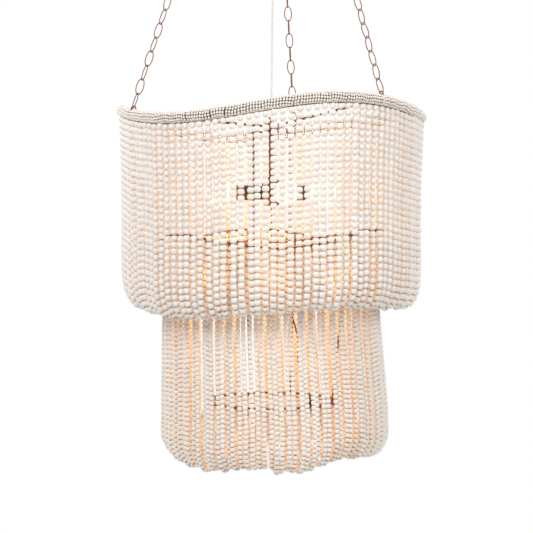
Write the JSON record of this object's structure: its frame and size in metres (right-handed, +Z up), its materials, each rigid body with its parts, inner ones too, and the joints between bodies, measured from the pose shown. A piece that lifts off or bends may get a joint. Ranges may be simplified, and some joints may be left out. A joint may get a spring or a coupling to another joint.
{
  "type": "beaded chandelier",
  "caption": "Two-tier chandelier of hanging bead strands on a metal frame with a wavy wrapped rim, lamps inside, hung on three chains from a ceiling canopy.",
  "frame": {"origin": "centre of the mounting strap's top face, against the ceiling", "axes": "+Z up into the ceiling, +X to the right as seen from the front, the front faces -Y"},
  "size_m": [0.5286, 0.529, 1.3871],
  "materials": {
    "strap_steel": "zinc plated",
    "canopy_metal": "aged copper brown, satin",
    "chain_metal": "aged copper brown, satin",
    "frame_metal": "aged copper brown, satin",
    "seed_beads": "satin white seed beads on wire",
    "upper_beads": "cream painted, satin",
    "lower_beads": "cream painted, satin",
    "socket_plastic": "dark brown, matte",
    "bulb_glass": "frosted warm glass, lit",
    "clear_cord": "clear, pale",
    "brown_lead": "brown sleeve"
  },
  "bodies": {
    "canopy": {"mounting_strap": "strap_steel", "canopy_cover": "canopy_metal", "ceiling_eye": "chain_metal", "eye_nut": "strap_steel", "cord_grip": "socket_plastic"},
    "swivel": {"swivel_link": "chain_metal"},
    "chandelier": {"top_ring": "chain_metal", "chain_1": "chain_metal", "chain_2": "chain_metal", "chain_3": "chain_metal", "rim_core": "frame_metal", "rim_collar_1": "frame_metal", "rim_collar_2": "frame_metal", "rim_collar_3": "frame_metal", "rim_spoke_1": "frame_metal", "rim_spoke_2": "frame_metal", "rim_spoke_3": "frame_metal", "spider_hub": "frame_metal", "stem_cap": "frame_metal", "stem": "frame_metal", "lamp_body": "frame_metal", "cross_bar": "frame_metal", "hanger_rod_1": "frame_metal", "hanger_rod_2": "frame_metal", "ring_plate": "frame_metal", "mid_arm_1": "frame_metal", "mid_arm_2": "frame_metal", "mid_arm_3": "frame_metal", "mid_arm_4": "frame_metal", "mid_ring": "frame_metal", "drop_rod_1": "frame_metal", "drop_rod_2": "frame_metal", "drop_rod_3": "frame_metal", "drop_rod_4": "frame_metal", "lower_ring": "frame_metal", "rim_wrap_1": "seed_beads", "rim_wrap_2": "seed_beads", "rim_wrap_3": "seed_beads", "upper_strands_1": "upper_beads", "upper_strands_2": "upper_beads", "upper_strands_3": "upper_beads", "upper_strands_4": "upper_beads", "upper_strands_5": "upper_beads", "upper_strands_6": "upper_beads", "lower_strands_1": "lower_beads", "lower_strands_2": "lower_beads", "lower_strands_3": "lower_beads", "lower_strands_4": "lower_beads", "lower_strands_5": "lower_beads", "lower_strands_6": "lower_beads", "lamp_socket_1": "socket_plastic", "lamp_socket_2": "socket_plastic", "lamp_socket_3": "socket_plastic", "lamp_socket_4": "socket_plastic", "power_cord": "clear_cord", "lower_lead": "brown_lead"},
    "bulb_1_body": {"bulb_1": "bulb_glass"},
    "bulb_2_body": {"bulb_2": "bulb_glass"},
    "bulb_3_body": {"bulb_3": "bulb_glass"},
    "bulb_4_body": {"bulb_4": "bulb_glass"}
  },
  "joints": [
    {"name": "swivel_swing", "type": "hinge", "parent": "canopy", "child": "swivel", "pos_m": [0, 0, -0.045], "axis": [1, 0, 0], "range_deg": [-15, 15]},
    {"name": "chandelier_swing", "type": "hinge", "parent": "swivel", "child": "chandelier", "pos_m": [0, 0, -0.0729], "axis": [0, 1, 0], "range_deg": [-15, 15]},
    {"name": "bulb_1_turn", "type": "hinge", "parent": "chandelier", "child": "bulb_1_body", "pos_m": [0, 0, -0.929], "axis": [0.2588, -0.9659, 0], "continuous": true},
    {"name": "bulb_2_turn", "type": "hinge", "parent": "chandelier", "child": "bulb_2_body", "pos_m": [0, 0, -0.929], "axis": [0.9659, 0.2588, 0], "continuous": true},
    {"name": "bulb_3_turn", "type": "hinge", "parent": "chandelier", "child": "bulb_3_body", "pos_m": [0, 0, -0.929], "axis": [-0.2588, 0.9659, 0], "continuous": true},
    {"name": "bulb_4_turn", "type": "hinge", "parent": "chandelier", "child": "bulb_4_body", "pos_m": [0, 0, -0.929], "axis": [-0.9659, -0.2588, 0], "continuous": true}
  ]
}
